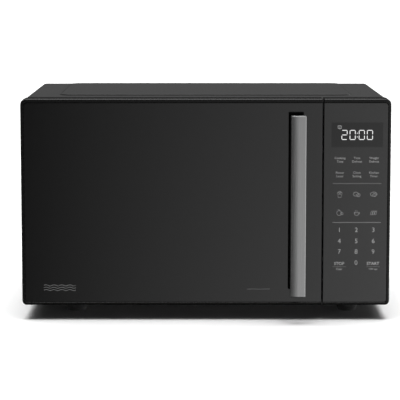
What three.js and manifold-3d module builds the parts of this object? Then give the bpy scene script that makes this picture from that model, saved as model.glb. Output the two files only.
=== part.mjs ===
// Free-standing microwave oven with a side-hung door, a vertical bar handle and a flat touch panel.
// Millimetres, +Z up, front towards -Y. The feet stand on Z = 0, under the centre of the whole box.
// Every height in the code is measured from a level that lies LIFT above the worktop.

import * as THREE from 'three';
import { mergeVertices } from 'three/addons/utils/BufferGeometryUtils.js';
import Module from 'manifold-3d';

const wasm = await Module();
wasm.setup();

// ---------------------------------------------------------------- driving dimensions

const WIDTH = 483;
const HEIGHT = 281;
const BODY_BOTTOM = 9;
const LIFT = 11; // with BODY_BOTTOM, holds the body 20 above the worktop
const CORNER_RADIUS = 9;
const EDGE_BEVEL = 2.6;
const GAP = 0.3; // between two pieces that touch
const SHEET = 1; // thickness of a steel sheet

const HANDLE_FRONT = -198;
const GLASS_FRONT = -160;
const DOOR_BACK = -129;
const CABINET_FRONT = -127;
const CABINET_BACK = 177;
const SPACER_BACK = 198;

const SIDE = WIDTH / 2;
const DOOR_RIGHT = 152;
const PANEL_LEFT = 154;
const RIM = 4.3; // black border between the glass and the outer edge
const TOP_RIM = 5.6;
const GLASS_THICK = 3;
const GLASS_Z = [BODY_BOTTOM + RIM, HEIGHT - TOP_RIM];

const WRAP_SIDE = 240.8;
const WRAP_TOP = 279.5;
const WRAP_BOTTOM = 9.5;
const BASE_Z = [10.8, 11.8];
const REAR_Y = [174.7, 175.7];
const PLATE_Y = [-128.4, -127.4];
const EMBOSS = { x: [-195, 195], y: [-77, 165], radius: 14 };

const CAVITY = { x: [-219, 111], y: [-127.1, 154], z: [40, 250] };
const CAVITY_CORNER = 12;
const TABLE_X = (CAVITY.x[0] + CAVITY.x[1]) / 2;
const TABLE_Y = 13.5;
const TABLE_RADIUS = 127.5;
const TABLE_UNDERSIDE = 56.6;
const WHEEL_RADIUS = 8;
const WHEEL_TRACK = 90; // distance of each wheel from the turntable's axis
const WHEEL_AXIS_Z = CAVITY.z[0] + GAP + WHEEL_RADIUS;

const FOOT_X = [-175, 192];
const FOOT_Y = [-80, 140];
const FOOT_RADIUS = 14;

const HINGE_X = -234;
const HINGE_Y = -139.5; // far enough forward for the door's front edge to pass the front plate
const PIN_RADIUS = 3;
const EAR_Z = [[19, 21], [269, 271]]; // lower and upper hinge ears

const HANDLE = { x: [109.3, 129.1], z: [25.9, 261.5], thick: 18 };
const LATCH_X = [139, 145];
const HOOK_Z = [74, 194]; // lowest point of the lower and upper hooks
const HOOK_TIP_Y = -108;
const SWITCH_Y = [-103, -87];
const SWITCH_X = [137, 147];
const PLUNGER_RADIUS = 1.2;

const MAGNETRON_Y = 5;
const MAGNETRON_Z = 190;
const FAN_X = 177;
const FAN_Z = 182;
const FAN_RADIUS = 46;
const GLAND_X = 200;
const GLAND_Z = 60;
const DISPLAY = { x: [163.1, 231.2], z: [217.5, 250.5] };

const FINISHES = {
  glossBlack: { color: 0x0b0b0c, roughness: 0.08, metalness: 0 },
  blackPlastic: { color: 0x161617, roughness: 0.45, metalness: 0 },
  darkPaint: { color: 0x3a3a3c, roughness: 0.55, metalness: 0.2 },
  brushedMetal: { color: 0x9a9b9c, roughness: 0.35, metalness: 0.9 },
  zincSteel: { color: 0x8f9294, roughness: 0.4, metalness: 0.85 },
  enamel: { color: 0x77787a, roughness: 0.3, metalness: 0.1 },
  clearGlass: { color: 0xcfe0dd, roughness: 0.05, metalness: 0 },
  mica: { color: 0xa99b7c, roughness: 0.6, metalness: 0 },
  whitePlastic: { color: 0xd8d8d2, roughness: 0.5, metalness: 0 },
  copper: { color: 0x9b4f2b, roughness: 0.4, metalness: 0.8 },
  aluminium: { color: 0xb9bcbe, roughness: 0.35, metalness: 0.9 },
  boardGreen: { color: 0x1f5a34, roughness: 0.6, metalness: 0 },
  rubber: { color: 0x1b1b1b, roughness: 0.85, metalness: 0 },
};

// ---------------------------------------------------------------- solids

function signedVolume(positions, triangles) {
  const corner = [new THREE.Vector3(), new THREE.Vector3(), new THREE.Vector3()];
  let volume = 0;
  for (let i = 0; i < triangles.length; i += 3) {
    corner.forEach((point, k) => point.fromArray(positions, 3 * triangles[i + k]));
    volume += corner[0].dot(corner[1].cross(corner[2])) / 6;
  }
  return volume;
}

function solidOf(geometry) {
  geometry.deleteAttribute('normal');
  geometry.deleteAttribute('uv');
  const merged = mergeVertices(geometry, 1e-4);
  const positions = merged.attributes.position.array;
  const triangles = [];
  for (let i = 0; i < merged.index.count; i += 3) {
    const [a, b, c] = [0, 1, 2].map((k) => merged.index.getX(i + k));
    if (a !== b && b !== c && c !== a) {
      triangles.push(a, b, c);
    }
  }
  if (signedVolume(positions, triangles) < 0) {
    triangles.reverse();
  }
  return new wasm.Manifold(new wasm.Mesh({
    numProp: 3,
    vertProperties: new Float32Array(positions),
    triVerts: new Uint32Array(triangles),
  }));
}

const join = (first, ...others) => others.reduce((sum, other) => sum.add(other), first);
const cut = (first, ...others) => others.reduce((rest, other) => rest.subtract(other), first);

function box([x0, x1], [y0, y1], [z0, z1]) {
  const geometry = new THREE.BoxGeometry(x1 - x0, y1 - y0, z1 - z0);
  return solidOf(geometry.translate((x0 + x1) / 2, (y0 + y1) / 2, (z0 + z1) / 2));
}

function roundedRect([x0, x1], [y0, y1], radius) {
  const quarter = Math.PI / 2;
  const shape = new THREE.Shape();
  shape.absarc(x1 - radius, y0 + radius, radius, -quarter, 0);
  shape.absarc(x1 - radius, y1 - radius, radius, 0, quarter);
  shape.absarc(x0 + radius, y1 - radius, radius, quarter, 2 * quarter);
  shape.absarc(x0 + radius, y0 + radius, radius, 2 * quarter, 3 * quarter);
  shape.closePath();
  return shape;
}

function polygon(points) {
  return new THREE.Shape(points.map(([x, y]) => new THREE.Vector2(x, y)));
}

// A shape's own x and y become: Y and Z when swept along x, X and Z along y, X and Y along z.
function sweep(shape, axis, [from, to], options = {}) {
  const settings = { depth: to - from, bevelEnabled: false, curveSegments: 3, ...options };
  const geometry = new THREE.ExtrudeGeometry(shape, settings);
  const [alongX, alongY, alongZ] = [[1, 0, 0], [0, 1, 0], [0, 0, 1]].map((v) => new THREE.Vector3(...v));
  if (axis === 'x') {
    geometry.applyMatrix4(new THREE.Matrix4().makeBasis(alongY, alongZ, alongX));
    geometry.translate(from, 0, 0);
  } else if (axis === 'y') {
    geometry.applyMatrix4(new THREE.Matrix4().makeBasis(alongX, alongZ, alongY.negate()));
    geometry.translate(0, to, 0);
  } else {
    geometry.translate(0, 0, from);
  }
  return solidOf(geometry);
}

// A straight round rod along one axis, through the point (a, b) of the other two axes in X, Y, Z order.
function rod(radius, axis, [a, b], [from, to], segments = 16) {
  const geometry = new THREE.CylinderGeometry(radius, radius, to - from, segments);
  const middle = (from + to) / 2;
  if (axis === 'x') {
    geometry.rotateZ(Math.PI / 2).translate(middle, a, b);
  } else if (axis === 'y') {
    geometry.translate(a, middle, b);
  } else {
    geometry.rotateX(Math.PI / 2).translate(a, b, middle);
  }
  return solidOf(geometry);
}

// Turns a profile of [radius, height] points about the Z axis.
function turned(profile, segments = 32) {
  const points = profile.map(([radius, height]) => new THREE.Vector2(radius, height));
  return solidOf(new THREE.LatheGeometry(points, segments).rotateX(Math.PI / 2));
}

const grow = ([low, high], by) => [low - by, high + by];

function evenly(count, first, pitch) {
  return Array.from({ length: count }, (_, i) => first + i * pitch);
}

// Ventilation slots stacked in Z, cut through a wall that faces along X or Y.
function slots(wallAxis, wall, [from, to], heights, thick = 3.6) {
  return heights.map((z) => (wallAxis === 'x'
    ? box(wall, [from, to], [z, z + thick])
    : box([from, to], wall, [z, z + thick])));
}

function piece(name, solid, finish) {
  const { vertProperties, triVerts } = solid.getMesh();
  const geometry = new THREE.BufferGeometry();
  geometry.setAttribute('position', new THREE.BufferAttribute(vertProperties, 3));
  geometry.setIndex(new THREE.BufferAttribute(triVerts, 1));
  geometry.computeVertexNormals();
  const mesh = new THREE.Mesh(geometry, new THREE.MeshStandardMaterial(FINISHES[finish]));
  mesh.name = name;
  return mesh;
}

function groupOf(...meshes) {
  return new THREE.Group().add(...meshes);
}

// ---------------------------------------------------------------- casing

// The end view of the cabinet: flat at the bottom, round at its upper corners.
function wrapSection(side, top, radius, bottom) {
  const shape = new THREE.Shape();
  shape.moveTo(-side, bottom);
  shape.lineTo(side, bottom);
  shape.absarc(side - radius, top - radius, radius, 0, Math.PI / 2);
  shape.absarc(radius - side, top - radius, radius, Math.PI / 2, Math.PI);
  shape.closePath();
  return shape;
}

function outerCabinet() {
  const length = [CABINET_FRONT, CABINET_BACK];
  const outer = sweep(wrapSection(WRAP_SIDE, WRAP_TOP, CORNER_RADIUS, WRAP_BOTTOM), 'y', length);
  const room = [CABINET_FRONT - 1, CABINET_BACK - SHEET];
  const innerSide = WRAP_SIDE - SHEET;
  const innerTop = WRAP_TOP - SHEET;
  const inner = sweep(
    wrapSection(innerSide, innerTop, CORNER_RADIUS - SHEET, WRAP_BOTTOM + SHEET), 'y', room);
  const flange = 9;
  const backHole = box(
    [flange - WRAP_SIDE, WRAP_SIDE - flange],
    [CABINET_BACK - 2 * SHEET, CABINET_BACK + 1],
    [WRAP_BOTTOM - 1, WRAP_TOP - flange]);
  const underHole = box(
    [flange - WRAP_SIDE, WRAP_SIDE - flange],
    [CABINET_FRONT - 1, CABINET_BACK + 1],
    [WRAP_BOTTOM - 1, WRAP_BOTTOM + 2 * SHEET]);
  const shell = cut(outer, inner, backHole, underHole);
  const raised = roundedRect(EMBOSS.x, EMBOSS.y, EMBOSS.radius);
  const hollow = roundedRect(grow(EMBOSS.x, -SHEET), grow(EMBOSS.y, -SHEET), EMBOSS.radius - SHEET);
  const embossed = join(shell, sweep(raised, 'z', [innerTop, HEIGHT]));
  const rightWall = [innerSide - 1, WRAP_SIDE + 1];
  const leftWall = [-WRAP_SIDE - 1, 1 - innerSide];
  return piece('outer_cabinet', cut(
    embossed,
    sweep(hollow, 'z', [innerTop - 1, HEIGHT - SHEET]),
    ...slots('x', rightWall, [66, 104], evenly(10, 90, 12)),
    ...slots('x', rightWall, [116, 154], evenly(10, 90, 12)),
    ...slots('x', leftWall, [112, 150], evenly(6, 170, 12)),
  ), 'darkPaint');
}

function basePlate() {
  const sheet = box([-239.5, 239.5], [CABINET_FRONT, REAR_Y[1]], BASE_Z);
  const vents = evenly(8, 60, 10).map((y) => box([140, 215], [y, y + 4], grow(BASE_Z, 1)));
  return piece('base_plate', cut(sheet, ...vents), 'zincSteel');
}

function rearPanel() {
  const outline = roundedRect([-239.5, 239.5], [BASE_Z[1] + GAP, WRAP_TOP - SHEET - GAP], CORNER_RADIUS);
  const sheet = sweep(outline, 'y', REAR_Y);
  const wall = grow(REAR_Y, 1);
  return piece('rear_panel', cut(
    sheet,
    ...slots('y', wall, [136, 174], evenly(9, 134, 11)),
    ...slots('y', wall, [182, 220], evenly(9, 134, 11)),
    ...slots('y', wall, [-200, -150], evenly(5, 190, 11)),
    rod(9, 'y', [GLAND_X, GLAND_Z], wall, 16),
  ), 'zincSteel');
}

function foot(name, x, y) {
  const top = LIFT + BASE_Z[0] - GAP;
  const waist = FOOT_RADIUS - 2;
  const mesh = piece(name, turned([
    [0, 0], [waist, 0], [waist + 0.8, 1.5], [FOOT_RADIUS, top], [0, top],
  ], 24), 'rubber');
  mesh.position.set(x, y, -LIFT);
  return mesh;
}

function rearSpacer(name, x) {
  const start = REAR_Y[1] + GAP;
  const section = roundedRect([x - 9, x + 9], [150, 190], 4);
  const stem = sweep(section, 'y', [start, SPACER_BACK]);
  const hollow = box([x - 5.5, x + 5.5], [start - 1, SPACER_BACK - 3], [155, 185]);
  return piece(name, cut(stem, hollow), 'blackPlastic');
}

function cordGland() {
  const [inside, outside] = [REAR_Y[0] - 3, REAR_Y[1] + 4.5];
  const centre = [GLAND_X, GLAND_Z];
  const sleeve = rod(8.5, 'y', centre, [inside, outside], 16);
  const collar = rod(12, 'y', centre, [REAR_Y[1] + GAP, outside], 16);
  const nut = rod(11, 'y', centre, [inside, REAR_Y[0] - GAP], 6);
  const bore = rod(4.2, 'y', centre, [inside - 1, outside + 1], 12);
  return piece('cord_gland', cut(join(sleeve, collar, nut), bore), 'blackPlastic');
}

// ---------------------------------------------------------------- oven cavity

function cavityFrontPlate() {
  const sheet = sweep(roundedRect([-239.4, 239.4], [BASE_Z[0], 278.2], CORNER_RADIUS), 'y', PLATE_Y);
  const through = grow(PLATE_Y, 1);
  const mouth = sweep(roundedRect(CAVITY.x, CAVITY.z, CAVITY_CORNER), 'y', through);
  const controlHole = box([160, 232], through, [30, 262]);
  const latchHoles = HOOK_Z.map((z) => box([LATCH_X[0] - 3, LATCH_X[1] + 4], through, [z - 2, z + 22]));
  const earHoles = EAR_Z.map((z) => box([-240, -228.5], through, grow(z, 0.5)));
  return piece('cavity_front_plate', cut(sheet, mouth, controlHole, ...latchHoles, ...earHoles), 'enamel');
}

function ovenCavity() {
  const outer = sweep(
    roundedRect(grow(CAVITY.x, SHEET), grow(CAVITY.z, SHEET), CAVITY_CORNER + SHEET),
    'y', [CAVITY.y[0], CAVITY.y[1] + SHEET]);
  const inner = sweep(
    roundedRect(CAVITY.x, CAVITY.z, CAVITY_CORNER), 'y', [CAVITY.y[0] - 1, CAVITY.y[1]]);
  const rightWall = grow([CAVITY.x[1], CAVITY.x[1] + SHEET], 1);
  const backWall = grow([CAVITY.y[1], CAVITY.y[1] + SHEET], 1);
  return piece('oven_cavity', cut(
    outer, inner,
    box(rightWall, [-28, 38], [160, 220]),
    ...slots('x', rightWall, [-80, -45], evenly(5, 168, 9)),
    ...slots('x', rightWall, [68, 100], evenly(3, 193, 8)),
    ...slots('y', backWall, [-200, -150], evenly(4, 200, 9)),
    rod(6, 'z', [TABLE_X, TABLE_Y], [CAVITY.z[0] - 3, CAVITY.z[0] + 2], 16),
  ), 'enamel');
}

function waveguideCover() {
  const face = CAVITY.x[1] - GAP;
  return piece('waveguide_cover', box([face - 0.6, face], [-36, 46], [152, 228]), 'mica');
}

function turntableMotor() {
  const top = CAVITY.z[0] - SHEET - GAP;
  const can = rod(25, 'z', [0, 0], [top - 17, top], 24);
  const ears = box([-34, 34], [-6, 6], [top - 1.5, top]);
  const shaftHole = rod(4, 'z', [0, 0], [top - 12, top + 1], 12);
  const mesh = piece('turntable_motor', cut(join(can, ears), shaftHole), 'zincSteel');
  mesh.position.set(TABLE_X, TABLE_Y, 0);
  return mesh;
}

function turntableCoupler() {
  const shaft = rod(3.2, 'z', [0, 0], [27.5, 44], 12);
  const hub = rod(12, 'z', [0, 0], [43, TABLE_UNDERSIDE - 1], 18);
  const lobes = [0, 1, 2].map((i) => {
    const lobe = new THREE.BoxGeometry(24, 9, 8).translate(12, 0, 51);
    return solidOf(lobe.rotateZ(i * 2 * Math.PI / 3));
  });
  return piece('turntable_coupler', join(shaft, hub, ...lobes), 'whitePlastic');
}

function turntableGlass() {
  const low = TABLE_UNDERSIDE;
  const dish = turned([
    [0, low], [104, low], [TABLE_RADIUS, low + 9.5], [TABLE_RADIUS, low + 12],
    [TABLE_RADIUS - 2, low + 12], [103, low + 4.5], [0, low + 4.5],
  ], 48);
  const lugs = [0, 1, 2].map((i) => {
    const lug = new THREE.BoxGeometry(6, 12, 5).translate(21, 0, low - 2);
    return solidOf(lug.rotateZ((2 * i + 1) * Math.PI / 3));
  });
  return piece('turntable_glass', join(dish, ...lugs), 'clearGlass');
}

function rollerRing() {
  const inner = WHEEL_TRACK - 14;
  const outer = WHEEL_TRACK - 7;
  const [low, high] = grow([WHEEL_AXIS_Z, WHEEL_AXIS_Z], 2.5);
  const ring = turned([[inner, low], [outer, low], [outer, high], [inner, high], [inner, low]], 36);
  const axles = [0, 1, 2].map((i) => {
    const axle = new THREE.CylinderGeometry(1.8, 1.8, 17, 8).rotateZ(Math.PI / 2);
    axle.translate(outer + 6.5, 0, WHEEL_AXIS_Z);
    return solidOf(axle.rotateZ(i * 2 * Math.PI / 3));
  });
  return piece('roller_ring', join(ring, ...axles), 'whitePlastic');
}

function rollerWheel(index) {
  const width = [WHEEL_TRACK - 4, WHEEL_TRACK + 4];
  const wheel = cut(
    rod(WHEEL_RADIUS, 'x', [0, 0], width, 20), rod(2.3, 'x', [0, 0], grow(width, 1), 12));
  const mesh = piece(`roller_wheel_${index + 1}`, wheel, 'whitePlastic');
  mesh.position.z = WHEEL_AXIS_Z;
  const spoke = groupOf(mesh);
  spoke.rotation.z = index * 2 * Math.PI / 3;
  return spoke;
}

function turntable() {
  const wheels = [0, 1, 2].map(rollerWheel);
  const group = groupOf(turntableCoupler(), turntableGlass(), rollerRing(), ...wheels);
  group.position.set(TABLE_X, TABLE_Y, 0);
  return group;
}

// ---------------------------------------------------------------- microwave source and cooling

const BESIDE_CAVITY = CAVITY.x[1] + SHEET + GAP;

function waveguide() {
  const outer = box([BESIDE_CAVITY, 150], [-30, 40], [158, 222]);
  const inner = box([BESIDE_CAVITY - 1, 149], [-29, 39], [159, 221]);
  const port = rod(14, 'x', [MAGNETRON_Y, MAGNETRON_Z], [148, 151], 16);
  return piece('waveguide', cut(outer, inner, port), 'zincSteel');
}

function magnetronAnode() {
  const antenna = rod(8, 'x', [0, 0], [-17, 2], 16);
  const can = rod(20, 'x', [0, 0], [0.5, 51.5], 20);
  const fins = evenly(6, 5, 8).map((x) => box([x, x + 1.2], [-33, 33], [-36, 36]));
  return piece('magnetron_anode', join(can, antenna, ...fins), 'aluminium');
}

function magnetronFrame() {
  const outer = box([-2, 54], [-36, 36], [-40, 40]);
  const inner = box([-0.5, 52.5], [-37, 37], [-38.5, 38.5]);
  const antennaHole = rod(10, 'x', [0, 0], [-3, 1], 16);
  return piece('magnetron_frame', cut(outer, inner, antennaHole), 'zincSteel');
}

function magnetronFilterBox() {
  return piece('magnetron_filter_box', box([54.5, 84], [-28, 28], [-30, 30]), 'zincSteel');
}

function magnetron() {
  const group = groupOf(magnetronAnode(), magnetronFrame(), magnetronFilterBox());
  group.position.set(152.4, MAGNETRON_Y, MAGNETRON_Z);
  return group;
}

function transformer() {
  const leg = { x: [-13, 13], y: [-33, 33] };
  const windows = [[-31, leg.x[0]], [leg.x[1], 31]];
  const core = cut(
    box([-47, 47], leg.y, [0, 77]), ...windows.map((x) => box(x, [-34, 34], [16, 61])));
  const coil = (name, z, finish) => {
    const ring = cut(
      sweep(roundedRect([-30.5, 30.5], grow(leg.y, 16), 8), 'z', z),
      box(grow(leg.x, GAP), grow(leg.y, GAP), grow(z, 1)));
    return piece(name, ring, finish);
  };
  const group = groupOf(
    piece('transformer_core', core, 'zincSteel'),
    coil('primary_winding', [16.5, 36], 'copper'),
    coil('secondary_winding', [38, 60.5], 'copper'));
  group.position.set(177, -5, BASE_Z[1] + GAP);
  return group;
}

function highVoltageCapacitor() {
  const can = sweep(roundedRect([150, 202], [74, 108], 16), 'z', [BASE_Z[1] + GAP, 92]);
  const tabs = [166, 186].map((x) => box([x - 3, x + 3], [90.5, 91.5], [91, 102]));
  return piece('high_voltage_capacitor', join(can, ...tabs), 'aluminium');
}

function fanShroud() {
  const opening = FAN_RADIUS + 3;
  const centre = [FAN_X, FAN_Z];
  const plate = box([BESIDE_CAVITY + 4, 236], [118, 120], [118, 246]);
  const skirt = rod(opening + 2, 'y', centre, [118, 142], 32);
  const struts = [158, 198].map((z) => box([FAN_X - 49, FAN_X + 49], [140, 142], [z, z + 8]));
  const hole = rod(opening, 'y', centre, [117, 140], 32);
  const backHole = rod(opening, 'y', centre, [139, 143], 32);
  const body = cut(join(plate, skirt), hole, backHole);
  return piece('fan_shroud', join(body, ...struts), 'blackPlastic');
}

function fanMotor() {
  const frame = box([FAN_X - 24, FAN_X + 24], [142 + GAP, 168], [FAN_Z - 24, FAN_Z + 24]);
  const shaftHole = rod(3.4, 'y', [FAN_X, FAN_Z], [141, 155], 12);
  return piece('fan_motor', cut(frame, shaftHole), 'zincSteel');
}

function fanImpeller() {
  const hub = rod(11, 'y', [0, 0], [122, 137], 20);
  const shaft = rod(2.6, 'y', [0, 0], [136, 152], 12);
  const blades = [0, 1, 2, 3, 4].map((i) => {
    const blade = new THREE.BoxGeometry(FAN_RADIUS - 9, 1.4, 24).translate((FAN_RADIUS + 9) / 2, 0, 0);
    blade.rotateX(Math.PI / 5).translate(0, 129.5, 0);
    return solidOf(blade.rotateY(i * 2 * Math.PI / 5));
  });
  const mesh = piece('fan_impeller', join(hub, shaft, ...blades), 'whitePlastic');
  mesh.position.set(FAN_X, 0, FAN_Z);
  return mesh;
}

function airDuct() {
  const outer = box([BESIDE_CAVITY, 206], [-84, -36], [154, 226]);
  const inner = box([BESIDE_CAVITY - 1, 204.5], [-82.5, -35], [155.5, 224.5]);
  return piece('air_duct', cut(outer, inner), 'blackPlastic');
}

function cavityLamp() {
  const bulb = turned([[0, 0], [6, 1.5], [10, 8], [10, 22], [7, 28], [7, 37], [0, 37]], 20);
  const mesh = piece('cavity_lamp', bulb, 'clearGlass');
  mesh.rotation.x = -Math.PI / 2;
  mesh.position.set(129, 68, 203);
  return mesh;
}

function lampHolder() {
  const block = box([117, 141], [105 + GAP, 117], [191, 215]);
  return piece('lamp_holder', block, 'whitePlastic');
}

function noiseFilterBoard() {
  const board = box([150, 230], [60, 112], [262, 263.6]);
  const choke = rod(11, 'z', [170, 84], [246, 263], 20);
  const fuse = box([200, 224], [68, 76], [253, 263]);
  const capacitor = box([196, 222], [88, 104], [248, 263]);
  return piece('noise_filter_board', join(board, choke, fuse, capacitor), 'boardGreen');
}

// ---------------------------------------------------------------- interlock

function interlockBracket() {
  const plate = box([SWITCH_X[1] + GAP, SWITCH_X[1] + 3], [PLATE_Y[1] + GAP, SWITCH_Y[1]], [54, 238]);
  const ledges = HOOK_Z.map((z) => box(
    [SWITCH_X[0], SWITCH_X[1] + 1], [PLATE_Y[1] + GAP, -120], [z - 9, z - 0.8]));
  return piece('interlock_bracket', join(plate, ...ledges), 'whitePlastic');
}

// A snap switch whose plunger faces the hook tip. The plunger is a piece of its own, so it can travel.
function doorSwitch(label, bodyZ, plungerZ) {
  const middle = (SWITCH_X[0] + SWITCH_X[1]) / 2;
  const hole = rod(PLUNGER_RADIUS + 0.4, 'y', [middle, plungerZ], [SWITCH_Y[0] - 1, SWITCH_Y[0] + 6], 10);
  const body = cut(box(SWITCH_X, SWITCH_Y, bodyZ), hole);
  const plunger = rod(PLUNGER_RADIUS, 'y', [middle, plungerZ], [HOOK_TIP_Y + GAP, SWITCH_Y[0] + 3], 10);
  return groupOf(
    piece(`door_switch_${label}`, body, 'blackPlastic'),
    piece(`switch_plunger_${label}`, plunger, 'whitePlastic'));
}

// ---------------------------------------------------------------- front: shared block

// The whole front, bevelled round its outer edge, before it is divided into the door and the panel.
function frontBlock([x0, x1]) {
  const outline = roundedRect(
    [EDGE_BEVEL - SIDE, SIDE - EDGE_BEVEL],
    [BODY_BOTTOM + EDGE_BEVEL, HEIGHT - EDGE_BEVEL],
    CORNER_RADIUS - EDGE_BEVEL);
  const bevel = {
    bevelEnabled: true, bevelSegments: 1, bevelSize: EDGE_BEVEL, bevelThickness: EDGE_BEVEL,
  };
  const whole = sweep(outline, 'y', [GLASS_FRONT + EDGE_BEVEL, DOOR_BACK + 10], bevel);
  return whole.intersect(box([x0, x1], [GLASS_FRONT - 1, DOOR_BACK], [0, HEIGHT + 1]));
}

const POCKET_BACK = GLASS_FRONT + GLASS_THICK + GAP;
const SHELF_BACK = POCKET_BACK + 2.7;

// ---------------------------------------------------------------- control panel

function controlPanelHousing() {
  const pocket = box(
    [PANEL_LEFT - 1, SIDE - RIM + GAP], [GLASS_FRONT - 1, POCKET_BACK], grow(GLASS_Z, GAP));
  const hollow = box([PANEL_LEFT + 2.5, SIDE - 2.5], [SHELF_BACK, DOOR_BACK + 1], [BODY_BOTTOM + 4, 278]);
  const window = box(DISPLAY.x, [POCKET_BACK - 1, SHELF_BACK + 1], DISPLAY.z);
  return piece('control_panel_housing', cut(frontBlock([PANEL_LEFT, SIDE]), pocket, hollow, window),
    'blackPlastic');
}

function controlPanelGlass() {
  const sheet = sweep(
    roundedRect([PANEL_LEFT - 20, SIDE - RIM], GLASS_Z, 4), 'y', [GLASS_FRONT, GLASS_FRONT + GLASS_THICK]);
  const leftPart = box([PANEL_LEFT - 30, PANEL_LEFT], [GLASS_FRONT - 1, DOOR_BACK], [0, HEIGHT]);
  return piece('control_panel_glass', cut(sheet, leftPart), 'glossBlack');
}

function displayModule() {
  const depth = [POCKET_BACK + GAP, SHELF_BACK + 7];
  return piece('display_module', box(grow(DISPLAY.x, -0.4), depth, grow(DISPLAY.z, -0.4)), 'glossBlack');
}

function controlBoard() {
  const board = box([159, 237], [-146, -144.4], [40, 264]);
  const supply = box([168, 204], [-145, -118], [60, 96]);
  const relays = [0, 1].map((i) => box([210, 228], [-145, -128], [60 + 26 * i, 80 + 26 * i]));
  const buzzer = rod(7, 'y', [186, 130], [-145, -134], 16);
  return piece('control_board', join(board, supply, buzzer, ...relays), 'boardGreen');
}

// ---------------------------------------------------------------- door

const HANDLE_MIDDLE = (HANDLE.x[0] + HANDLE.x[1]) / 2;
const HANDLE_POSTS = [[32, 52], [236, 256]];
const WINDOW = { x: [-203, 93], z: [54, 238] };

function doorFrame() {
  const roundedBack = roundedRect([-SIDE, DOOR_RIGHT + 20], [GLASS_FRONT - 20, DOOR_BACK], 6.2);
  const block = frontBlock([-SIDE, DOOR_RIGHT]).intersect(sweep(roundedBack, 'z', [0, HEIGHT + 1]));
  const pocket = box([RIM - GAP - SIDE, DOOR_RIGHT + 1], [GLASS_FRONT - 1, POCKET_BACK], grow(GLASS_Z, GAP));
  const hollow = box([-238.5, 149], [SHELF_BACK, DOOR_BACK + 1], [BODY_BOTTOM + 3, 278]);
  const hingeBlocks = EAR_Z.map((z) => box([-241, -226], [-152, DOOR_BACK + 2], grow(z, 7)));
  const kept = cut(hollow, ...hingeBlocks);
  const earSlots = EAR_Z.map((z) => box([-243, -226.5], [HINGE_Y - 8, DOOR_BACK + 1], grow(z, 0.8)));
  const pinHoles = EAR_Z.map((z) => rod(PIN_RADIUS + 0.35, 'z', [HINGE_X, HINGE_Y], grow(z, 5.6), 16));
  const window = sweep(roundedRect(WINDOW.x, WINDOW.z, 8), 'y', [POCKET_BACK - 1, SHELF_BACK + 1]);
  return piece('door_frame', cut(block, pocket, kept, window, ...earSlots, ...pinHoles), 'blackPlastic');
}

function doorGlass() {
  const depth = [GLASS_FRONT, GLASS_FRONT + GLASS_THICK];
  const sheet = sweep(roundedRect([RIM - SIDE, DOOR_RIGHT + 20], GLASS_Z, 4), 'y', depth);
  const rightPart = box([DOOR_RIGHT, DOOR_RIGHT + 30], grow(depth, 1), [0, HEIGHT]);
  return piece('door_glass', cut(sheet, rightPart), 'glossBlack');
}

// Pressed steel frame whose turned-up rims form the choke channel round the window.
function doorInnerFrame() {
  const outer = { x: [-236, 134.5], z: [28, 262] };
  const pan = box(outer.x, [-150, -133], outer.z);
  const channel = box(grow(outer.x, -SHEET), [-151, -134], grow(outer.z, -SHEET));
  const rimDepth = [-146, -133.5];
  const rim = box([-214, 104], rimDepth, [43, 249]);
  const opening = box([-213, 103], grow(rimDepth, 1), [44, 248]);
  const window = box(WINDOW.x, [-135, -132], WINDOW.z);
  return piece('door_inner_frame', cut(join(cut(pan, channel), cut(rim, opening)), window), 'zincSteel');
}

function doorScreen() {
  return piece('door_screen', box(grow(WINDOW.x, 6), [-135.1, -134.3], grow(WINDOW.z, 6)), 'blackPlastic');
}

function doorInnerWindow() {
  return piece('door_inner_window',
    box(grow(WINDOW.x, 5), [-132.7, DOOR_BACK - 0.7], grow(WINDOW.z, 5)), 'clearGlass');
}

function chokeCover() {
  const cover = box([-225.5, 148.6], [-132.7, DOOR_BACK], [28, 262]);
  const depth = [-134, DOOR_BACK + 1];
  const opening = box(grow(WINDOW.x, 5.3), depth, grow(WINDOW.z, 5.3));
  const hookHoles = HOOK_Z.map((z) => box(grow(LATCH_X, 1), depth, [z - 1, z + 21]));
  return piece('choke_cover', cut(cover, opening, ...hookHoles), 'blackPlastic');
}

function handleTrim() {
  const back = HANDLE_FRONT + HANDLE.thick - 7;
  const bevel = 1.6;
  const section = polygon([
    [HANDLE.x[0], back], [HANDLE.x[1], back], [HANDLE.x[1], HANDLE_FRONT + bevel],
    [HANDLE.x[1] - bevel, HANDLE_FRONT], [HANDLE.x[0] + bevel, HANDLE_FRONT],
    [HANDLE.x[0], HANDLE_FRONT + bevel],
  ]);
  return piece('handle_trim', sweep(section, 'z', HANDLE.z), 'brushedMetal');
}

function handleBody() {
  const barY = [HANDLE_FRONT + HANDLE.thick - 7 + GAP, HANDLE_FRONT + HANDLE.thick];
  const bar = box(grow(HANDLE.x, -1), barY, grow(HANDLE.z, -1));
  const posts = HANDLE_POSTS.map((z) => box(
    [HANDLE_MIDDLE - 7, HANDLE_MIDDLE + 7], [barY[1] - 1, GLASS_FRONT - GAP], z));
  return piece('handle_body', join(bar, ...posts), 'blackPlastic');
}

function hingePin(name, earZ) {
  return piece(name, rod(PIN_RADIUS, 'z', [HINGE_X, HINGE_Y], grow(earZ, 5.2), 16), 'zincSteel');
}

function hingeBracket(name, earZ) {
  const ear = box([-239, -229], [HINGE_Y, PLATE_Y[1] + 1], earZ);
  const nose = rod(5, 'z', [HINGE_X, HINGE_Y], earZ, 16);
  const flange = box([-236, -222], [PLATE_Y[1] + GAP, PLATE_Y[1] + GAP + 1.5], grow(earZ, 5));
  const pinHole = rod(PIN_RADIUS + 0.35, 'z', [HINGE_X, HINGE_Y], grow(earZ, 1), 16);
  return piece(name, cut(join(ear, nose, flange), pinHole), 'zincSteel');
}

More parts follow.
